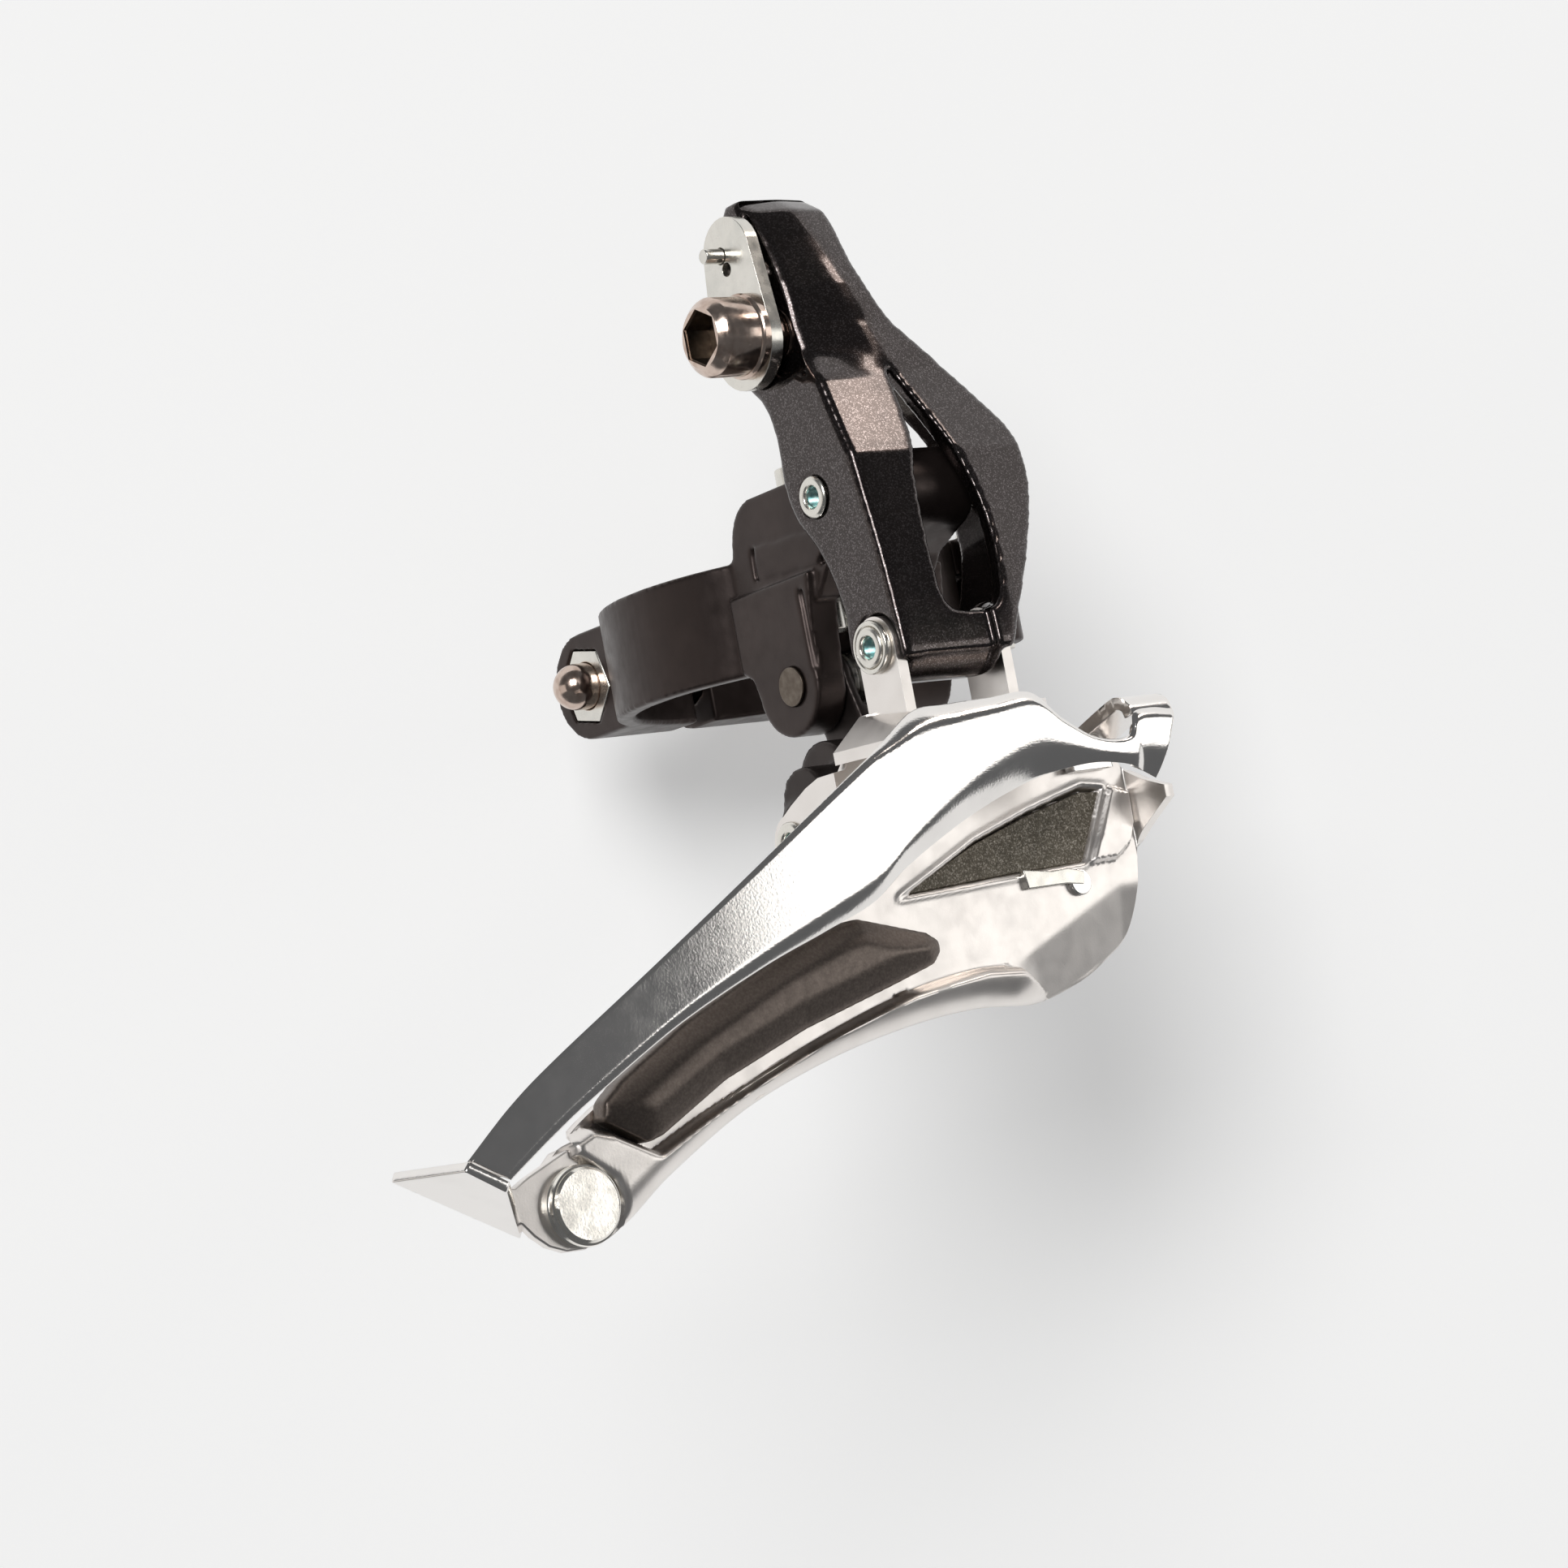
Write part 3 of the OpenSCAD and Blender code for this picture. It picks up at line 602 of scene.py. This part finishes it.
def sheet_between(name, stations, relief, step=0.45, rows=44):
    """Pressed sheet between two edges. Each station is (x, z) of the upper and of the lower edge.
    relief(x, z, v, wide) gives the depth of the outboard face; v runs from 0 above to 1 below."""
    edges = smooth_path([(*top, *low) for top, low in stations], step)
    v = np.linspace(0, 1, rows)[None, :]
    x = edges[:, :1] * (1 - v) + edges[:, 2:3] * v
    z = edges[:, 1:2] * (1 - v) + edges[:, 3:4] * v
    wide = np.hypot(edges[:, 0] - edges[:, 2], edges[:, 1] - edges[:, 3])[:, None]
    y = relief(x, z, v + 0 * x, wide + 0 * x)
    return grid_sheet(name, np.stack([x, y, z], 2))


def grid_sheet(name, points, thick=SHEET, inboard=(0, 1, 0)):
    """Sheet metal from a grid of points on its outboard face, with thickness towards inboard."""
    long, wide = points.shape[:2]
    index = np.arange(long * wide).reshape(long, wide)
    corners = (index[:-1, :-1], index[1:, :-1], index[1:, 1:], index[:-1, 1:])
    faces = np.stack([c.ravel() for c in corners], 1)
    across = np.cross(points[-1, 0] - points[0, 0], points[0, -1] - points[0, 0])
    if np.dot(across, inboard) > 0:
        faces = faces[:, ::-1]
    obj = to_object(name, points.reshape(-1, 3), faces.tolist())
    for face in obj.data.polygons:
        face.use_smooth = True
    modify(obj, "SOLIDIFY", thickness=thick * MM, offset=-1, use_rim=True)
    modify(obj, "BEVEL", width=0.22 * MM, segments=2, limit_method="ANGLE",
           angle_limit=math.radians(55))
    modify(obj, "WEIGHTED_NORMAL", keep_sharp=True)
    return obj


# ---------------------------------------------------------------- clamp and base

PANEL = [(-16.6, 6.2), (-27.0, 5.7), (-28.6, 4.1), (-26.5, 2.6), (-16.4, 3.3)]
BASE_REAR = -15.0
CHEEK_REAR = -16.0


def grown(outline, by):
    """The outline pushed outwards from its middle by that distance."""
    middle = np.mean(outline, 0)
    return [tuple(p + (p - middle) / np.hypot(*(p - middle)) * by) for p in np.asarray(outline)]


panel_groove = slab("panel_groove", grown(PANEL, 0.75), BASE_REAR - 1, BASE_REAR + 0.7, "x")
panel = slab("panel", PANEL, BASE_REAR - 0.25, BASE_REAR + 2, "x")
cheek_groove = slab("cheek_groove", [(-24.2, 0.6), (-23.5, 0.6), (-23.6, -7.6), (-24.3, -7.6)],
                    CHEEK_REAR - 1, CHEEK_REAR + 0.6, "x")
cast("clamp_body", "base", "clamp_paint", 0.24, 4, [panel], [panel_groove, cheek_groove])
cast("clamp_band", "band", "clamp_paint", 0.3, 4)
refined("clamp_hinge_pin", "base", "zinc_steel", 0.2)
refined("clamp_washer", "clamp_bolt", "zinc_steel", 0.15)
refined("clamp_nut", "base", "zinc_steel", 0.35)
refined("clamp_bolt", "clamp_bolt", "nickel_bolt", 0.3)
refined("low_limit_screw", "low_screw", "zinc_steel", 0.18)
refined("high_limit_screw", "high_screw", "zinc_steel", 0.18)
refined("link_base_pin", "base", "clamp_paint", 0.25, look=PIN)


def hollow_rivet(name, node, body, x0, x1, at, shank, flare, head):
    """Hollow rivet with a rolled head at each end."""
    bore = 1.05
    outline = [(x0 - head, bore + 0.15), (x0 - head, flare - 0.25), (x0 - head + 0.2, flare),
               (x0, flare), (x0, shank), (x1, shank), (x1, flare), (x1 + head - 0.2, flare),
               (x1 + head, flare - 0.25), (x1 + head, bore + 0.15), (x1 + head - 0.35, bore),
               (x1 - 2.5, bore), (x1 - 2.5, 0.02), (x0 + 2.5, 0.02), (x0 + 2.5, bore),
               (x0 - head + 0.35, bore)]
    obj = spun(name, outline, at, ring=True)
    finish_piece(soften(obj, 0.12, 2), body, "zinc_steel", [node])
    deep = x0 + 2.46
    cup = [(x0 - head + 0.45, bore - 0.02), (deep, bore - 0.02), (deep, 0.03), (deep - 0.12, 0.03),
           (deep - 0.15, bore - 0.15), (x0 - head + 0.45, bore - 0.08)]
    lining = spun(name + "_lining", cup, at, ring=True)
    finish_piece(soften(lining, 0), body, "zinc_steel", look=BORE)


hollow_rivet("base_rivet", "arm_base_rivet", "base", ARM_REAR, 4.0, ARM_BASE, 1.8, 2.05, 0.4)
hollow_rivet("cage_rivet", "arm_cage_rivet", "cage", -17.8, -3.8, ARM_CAGE, 1.8, 2.0, 1.0)
hollow_rivet("link_rivet", "link_cage_rivet", "cage", -23.6, -6.8, LINK_CAGE, 1.8, 2.2, 0.5)

# ---------------------------------------------------------------- cable arm


def arm_recess():
    """Pocket in the rear face of the arm, beside the pinch plate."""
    outline = [(-28.6, 37.0), (-30.6, 32.4), (-32.0, 27.4), (-32.9, 22.8), (-33.1, 19.6), (-31.4, 20.6),
               (-29.2, 20.6), (-27.0, 22.0), (-26.2, 34.0)]
    return slab("arm_recess", outline, ARM_REAR - 0.8, ARM_REAR + 1.3, "x")


# The crease runs down the outboard face through these places. In front of it, the facet turns back by
# FACET_TURN, and SIDE_SHIFT is how far a point moves forwards for each millimetre that it moves back.
# WALL is the depth over which the face's own relief fades out, and the top slopes above TOP_Z.
FACET_TURN = math.radians(8.0)
CREASE_Z = [-3.0, 8.0, 13.0, 20.5, 37.0]
CREASE_X = [-4.6, -4.4, -5.5, -8.8, -12.6]
WALL = 2.6
SIDE_SHIFT = 0.64
TOP_Z = 36.9


def shape_arm(obj):
    """Facets of the arm's outboard face: a crease from the top to the window, a front leg that turns
    forwards, a step beside its foot, a rounded rear edge and a sloping top."""
    x, y, z = points_of(obj)
    levels = np.linspace(z.min() + 0.3, z.max() - 0.3, 100)
    outermost = np.array([y[abs(z - level) < 0.6].min() for level in levels])
    inside = y - np.interp(z, levels, outermost)
    skin = np.clip(1 - inside / WALL, 0, 1)
    crease = np.interp(z, CREASE_Z, CREASE_X)
    back = ramp(x - crease, 0.3) * math.tan(FACET_TURN)
    back += 0.2 * ramp(crease - x, 0.4) * step_up(z, 18.5, 22.5) * skin
    foot_step = 0.95 * step_up(x, -6.7, -5.9) * (1 - step_up(z, -6.0, 7.0))
    back -= foot_step
    bulge = np.interp(z, [7.0, 10.8, 21.0, 25.0], [0, -0.72, -0.29, 0]) * skin
    bulge = bulge + np.interp(z, [25.0, 29.0, 37.0], [0, -0.25, 0]) * skin
    rounding = 0.2 * np.clip((-16.6 - x) / 0.9, 0, 1) ** 2 * skin
    slope = np.clip(z - TOP_Z, 0, None) * 0.9 * np.clip(1.6 - inside, 0, 1)
    lift = 0.06 * np.clip(z - 30.0, 0, None)
    move_points(obj, x + SIDE_SHIFT * back, y + back + bulge + rounding + slope, z + lift)
    modify(obj, "SMOOTH", factor=0.5, iterations=10)


arm = cast("cable_arm", "arm", "arm_paint", 0.24, 6, cuts=[arm_recess()])
shape_arm(arm)


def cable_bolt():
    """Socket head with a rounded rim and a flange, and a dark browned-steel lining inside the socket that
    paints the recess's shade.
    """
    face = -24.9
    collar = -19.3
    shank_end = -9.8
    head = 3.9
    flange = 4.2
    shank = 2.45
    socket = 5.0
    deep = 3.0
    outline = [(face, 0), (face, 2.95), (face + 0.25, 3.2), (face + 0.5, 3.5), (face + 0.75, 3.72),
               (face + 1.0, 3.85), (face + 1.1, head), (collar - 1.0, head), (collar - 0.9, 4.1),
               (collar - 0.75, flange), (collar - 0.1, flange), (collar, 4.1), (collar, shank),
               (shank_end, shank), (shank_end, 0)]
    obj = spun("cable_bolt_turned", outline, CABLE_AT, sides=96)
    cut(obj, slab("socket_cut", hexagon(CABLE_AT, socket, 90), face - 1, face + deep, "x"))
    finish_piece(crisp(obj), "cable_bolt", "nickel_bolt", ["cable_bolt"])
    # Painted shade: a thin dark cup of browned steel lines the socket's walls and floor to darken the
    # recess.
    cup = hexagon(CABLE_AT, socket - 0.02, 90)
    lining = slab("socket_painted_shade", cup, face + 0.3, face + deep - 0.02, "x")
    cut(lining, slab("lining_cut", hexagon(CABLE_AT, socket - 0.2, 90), face, face + deep - 0.1, "x"))
    finish_piece(crisp(lining), "cable_bolt", "nickel_bolt", look=PIN)


cable_bolt()
refined("cable_plate", "pinch_plate", "zinc_steel", 0.4)
refined("cable_plate_pin", "arm", "zinc_steel", 0.15)

# ---------------------------------------------------------------- links and spring

cast("inner_link", "inner_link", "link_paint", 0.3, 4)
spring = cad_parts["return_spring"]
spring.data.materials.clear()
spring.data.materials.append(LOOKS["spring_steel"])

# ---------------------------------------------------------------- chain cage


# How far each edge rolls in, as a share of its width, and how far the plate bows in behind BOW_FROM
LOW_ROLL = 0.27
HIGH_ROLL = 0.5
BOW = 2.6
BOW_FROM = -20
BOW_LENGTH = 57


def outer_relief(x, z, v, wide):
    """The outer plate: rolled in along its lower edge and the top of its middle, bowed in to the tail."""
    start = 0.8 - 0.4 * step_up(x, -30, -8)
    low = np.clip((v - start) / (1 - start), 0, 1) ** 2 * LOW_ROLL * (1 - start) * wide
    deep = 0.05 + 0.13 * step_up(x, -30, -22)
    high = np.clip((deep - v) / deep, 0, 1) ** 2 * HIGH_ROLL * deep * wide
    bow = BOW * (np.clip(BOW_FROM - x, 0, None) / BOW_LENGTH) ** 2
    return OUTER_FACE + bow + low + high


OUTER_STATIONS = [
    ((-77.0, -49.2), (-73.4, -51.5)), ((-72.4, -45.4), (-68.7, -48.5)), ((-67.1, -41.9), (-63.9, -45.7)),
    ((-56.0, -35.4), (-54.4, -40.8)), ((-45.0, -28.9), (-44.5, -36.9)), ((-35.0, -22.9), (-37.2, -34.6)),
    ((-27.0, -18.2), (-31.2, -32.6)), ((-22.3, -15.5), (-26.6, -29.8)), ((-18.0, -15.2), (-20.9, -27.1)),
    ((-13.5, -15.1), (-15.0, -24.8)), ((-8.5, -15.0), (-9.2, -23.1)), ((-5.6, -17.6), (-5.0, -22.5)),
    ((-2.5, -19.7), (-1.9, -22.4)), ((0.6, -20.4), (1.2, -22.8)), ((2.7, -19.9), (2.9, -23.3)),
    ((3.6, -18.0), (3.8, -23.7)), ((6.0, -17.7), (4.7, -24.1)), ((8.7, -17.9), (5.5, -24.5))]

outer = sheet_between("outer_plate", OUTER_STATIONS, outer_relief)
finish_piece(outer, "cage", "cage_plate", ["cage_outer_plate"])


def nose_roof():
    """Strip that rolls from the top of the nose over to the inner plate."""
    y0 = OUTER_FACE
    y1 = INNER_FACE
    side = smooth_path([(y0 + 0.5, -18.0), (y0 + 0.95, -16.9), (y0 + 2.2, -16.2), (y0 + 4.0, -16.4),
                        (y1 - 2.0, -18.4), (y1 - 0.8, -19.3), (y1 - 0.3, -20.6), (y1 - 0.3, -21.9)], 0.4)
    x = np.linspace(3.4, 8.6, 14)[None, :]
    points = np.stack([x + 0 * side[:, :1], side[:, :1] + 0 * x, side[:, 1:] + 0 * x], 2)
    return grid_sheet("nose_roof", points, inboard=(0, 0, -1))


finish_piece(nose_roof(), "cage", "cage_plate")


def tail_flange():
    """Sloping flange between the tails of the two plates."""
    near_a = np.array([-77.0, OUTER_FACE + 2.8, -49.3])
    near_b = np.array([-73.5, OUTER_FACE + 2.6, -51.6])
    far_a = np.array([-79.0, INNER_FACE, -48.9])
    far_b = np.array([-67.2, INNER_FACE, -55.7])
    s = np.linspace(0, 1, 30)[:, None, None]
    t = np.linspace(0, 1, 24)[None, :, None]
    near = near_a * (1 - t) + near_b * t
    far = far_a * (1 - t) + far_b * t
    points = near * (1 - s) + far * s
    return grid_sheet("tail_flange", points, 1.0, inboard=(0, 0.3, -1))


finish_piece(tail_flange(), "cage", "cage_plate")

TAB_OUTLINE = [(-73.0, -52.3), (-70.3, -51.9), (-68.0, -52.1), (-66.6, -51.4), (-62.0, -49.6),
               (-59.3, -51.4), (-57.6, -53.3), (-57.2, -54.9), (-58.1, -56.4), (-59.8, -57.7),
               (-61.9, -58.5), (-63.9, -58.4), (-65.6, -57.7), (-66.9, -56.6), (-67.9, -55.4)]
tab = slab("tail_tab", TAB_OUTLINE, INNER_FACE - SHEET, INNER_FACE - 0.02)
finish_piece(soften(tab, 0.2, 2), "cage", "cage_plate", look=SATIN)

WING = [(-19.4, -31.7), (-14.4, -29.5), (-9.3, -27.2), (-2.2, -25.0), (5.1, -23.2), (7.9, -23.6),
        (3.9, -30.8), (-5.1, -31.1)]
POLISHED = [(8.6, -23.6), (10.9, -24.3), (10.8, -27.5), (10.0, -29.4), (8.0, -30.8), (4.4, -30.9)]
LIP = [(-62.0, -48.9), (-59.6, -47.9), (-57.4, -48.5), (-52.7, -51.0), (-46.8, -48.6), (-32.7, -43.7),
       (-21.5, -40.6), (-12.3, -39.4), (-7.5, -39.8), (-2.0, -44.5), (-8.0, -47.5), (-22.0, -48.0),
       (-34.0, -50.5), (-48.0, -56.5), (-56.0, -60.0), (-58.7, -53.2), (-62.1, -50.5)]


# The lip along the lower edge is a bead: its height, the width of its outer flank and of its inner one.
# The facet at the front and the flange of the nose have slopes. The wing, the ridge round it and the
# polished strip beside it have depths.
BEAD = 2.3
BEAD_RIM = 3.6
BEAD_EDGE = 1.1
FACET_SLOPE = 0.22
WING_DEPTH = 0.9
RIDGE = 0.12
POLISH_DEPTH = 0.6
FLANGE_FROM = 11.0
FLANGE_SLOPE = 8.2


def inner_relief(x, z, v, wide):
    """The inner plate: a rounded lip below, a bent facet at the front, the nose pressing and the wing."""
    y = np.full(x.shape, INNER_FACE)
    low_side = 1 - np.clip((1 - v) * wide / BEAD_RIM, 0, 1)
    lip_side = 1 - np.clip(depth_inside(x, z, LIP) / BEAD_EDGE, 0, 1)
    y = y - BEAD * np.clip(1 - np.maximum(low_side, lip_side) ** 2.2, 0, 1) ** 0.6
    facet_top = np.interp(x, [-7.3, 7.9], [-39.6, -33.3])
    y = y + FACET_SLOPE * ramp(facet_top - z, 0.2) * step_up(x, -9, -4)
    inside = depth_inside(x, z, WING)
    y = y + WING_DEPTH * step_up(inside, 0.0, 0.4) - RIDGE * np.exp(-((inside + 0.3) / 0.25) ** 2)
    y = y - POLISH_DEPTH * step_up(depth_inside(x, z, POLISHED), -0.1, 0.25)
    return y - FLANGE_SLOPE * ramp(x - FLANGE_FROM, 0.06)


INNER_STATIONS = [
    ((-65.6, -53.4), (-65.6, -55.6)), ((-64.0, -51.0), (-63.2, -57.8)), ((-61.4, -48.8), (-60.0, -58.3)),
    ((-58.0, -46.6), (-56.4, -56.8)), ((-50.0, -42.6), (-51.0, -53.4)), ((-40.0, -36.9), (-41.5, -48.8)),
    ((-30.0, -31.7), (-31.0, -45.6)), ((-20.0, -25.8), (-21.2, -43.8)), ((-12.0, -22.4), (-13.0, -43.2)),
    ((-4.0, -20.7), (-5.0, -43.6)), ((2.0, -20.2), (1.6, -42.1)), ((6.0, -19.6), (6.0, -40.0)),
    ((8.4, -19.6), (8.2, -38.4)), ((9.7, -20.2), (9.6, -35.6)), ((10.8, -21.8), (10.6, -31.4)),
    ((11.3, -23.6), (11.2, -28.0)), ((11.6, -24.6), (11.6, -25.8))]

inner = sheet_between("inner_plate", INNER_STATIONS, inner_relief, step=0.32, rows=84)
finish_piece(inner, "cage", "cage_plate", ["cage_inner_plate"], SATIN)

PRESSING = [(-18.6, -31.4), (-9.3, -27.6), (-2.2, -25.5), (5.1, -23.8), (8.1, -24.0), (4.2, -30.6),
            (-5.1, -30.8)]
pressing = slab("pressing_back", PRESSING, INNER_FACE + 0.35, INNER_FACE + 0.8)
finish_piece(soften(pressing, 0.1, 2), "cage", "cage_plate", look=DUSTY)

PAD_OUTLINE = [(-58.3, -47.7), (-57.9, -46.0), (-55.6, -44.2), (-47.9, -40.1), (-36.8, -35.6),
               (-29.0, -33.4), (-26.6, -33.2), (-18.8, -35.4), (-17.6, -36.3), (-17.5, -37.3),
               (-18.6, -38.5), (-23.5, -39.8), (-34.6, -42.6), (-44.6, -46.0), (-52.4, -49.9),
               (-54.0, -50.3)]
PAD_THICK = 3.2
PAD_BORDER = 2.5


def skid_pad():
    """Thick pad with a broad sloping border all round its face."""
    obj = slab("pad_block", PAD_OUTLINE, INNER_FACE - PAD_THICK, INNER_FACE)
    modify(obj, "REMESH", mode="VOXEL", voxel_size=0.3 * MM)
    modify(obj, "SMOOTH", factor=0.5, iterations=5)
    apply_modifiers(obj)
    x, y, z = points_of(obj)
    border = 0.36 * ramp(PAD_BORDER - depth_inside(x, z, PAD_OUTLINE), 0.2)
    move_points(obj, x, y + border * step_up(INNER_FACE - y, 1.0, 2.6), z)
    modify(obj, "SMOOTH", factor=0.5, iterations=3)
    finish_piece(obj, "cage", "pad_resin", ["skid_pad"])


skid_pad()
refined("pad_studs", "cage", "pad_resin", 0.2)
refined("cage_bracket", "cage", "cage_plate", 0.3, look=SATIN)
refined("arm_cage_collar", "cage", "zinc_steel", 0.25)
refined("nose_rivet", "cage", "cage_plate", 0.15)
refined("bracket_rivets", "cage", "cage_plate", 0.15)


def tail_rivet():
    """Broad head with a groove round its rim, and a smaller closed head on the far side."""
    face = INNER_FACE - SHEET - 1.6
    seat = face + 1.6
    back = INNER_FACE + SHEET
    shank = 1.8
    outline = [(face, 0), (face, 3.1), (face + 0.25, 3.35), (face + 0.4, 3.35), (face + 0.45, 3.55),
               (face + 0.75, 3.65), (face + 1.1, 3.45), (face + 1.2, 3.65), (seat, 3.65),
               (seat, shank), (back, shank), (back, 2.9), (back + 0.5, 2.9), (back + 0.7, 2.6),
               (back + 0.7, 0)]
    obj = spun("tail_rivet_turned", outline, TAIL_AT, "y", sides=96)
    finish_piece(crisp(obj), "cage", "cage_plate", ["tail_rivet"], WORN)


tail_rivet()

# Rough little tab that is left under the wing
NIB = [(-4.6, -30.7), (-1.0, -31.2), (1.0, -31.1), (3.0, -31.6), (2.7, -32.9), (0.6, -32.6), (-4.3, -32.6)]
nib = slab("wing_tab", NIB, INNER_FACE - 0.7, INNER_FACE + 0.1)
finish_piece(soften(nib, 0.12, 2), "cage", "cage_plate", look=LOOKS["zinc_steel"])
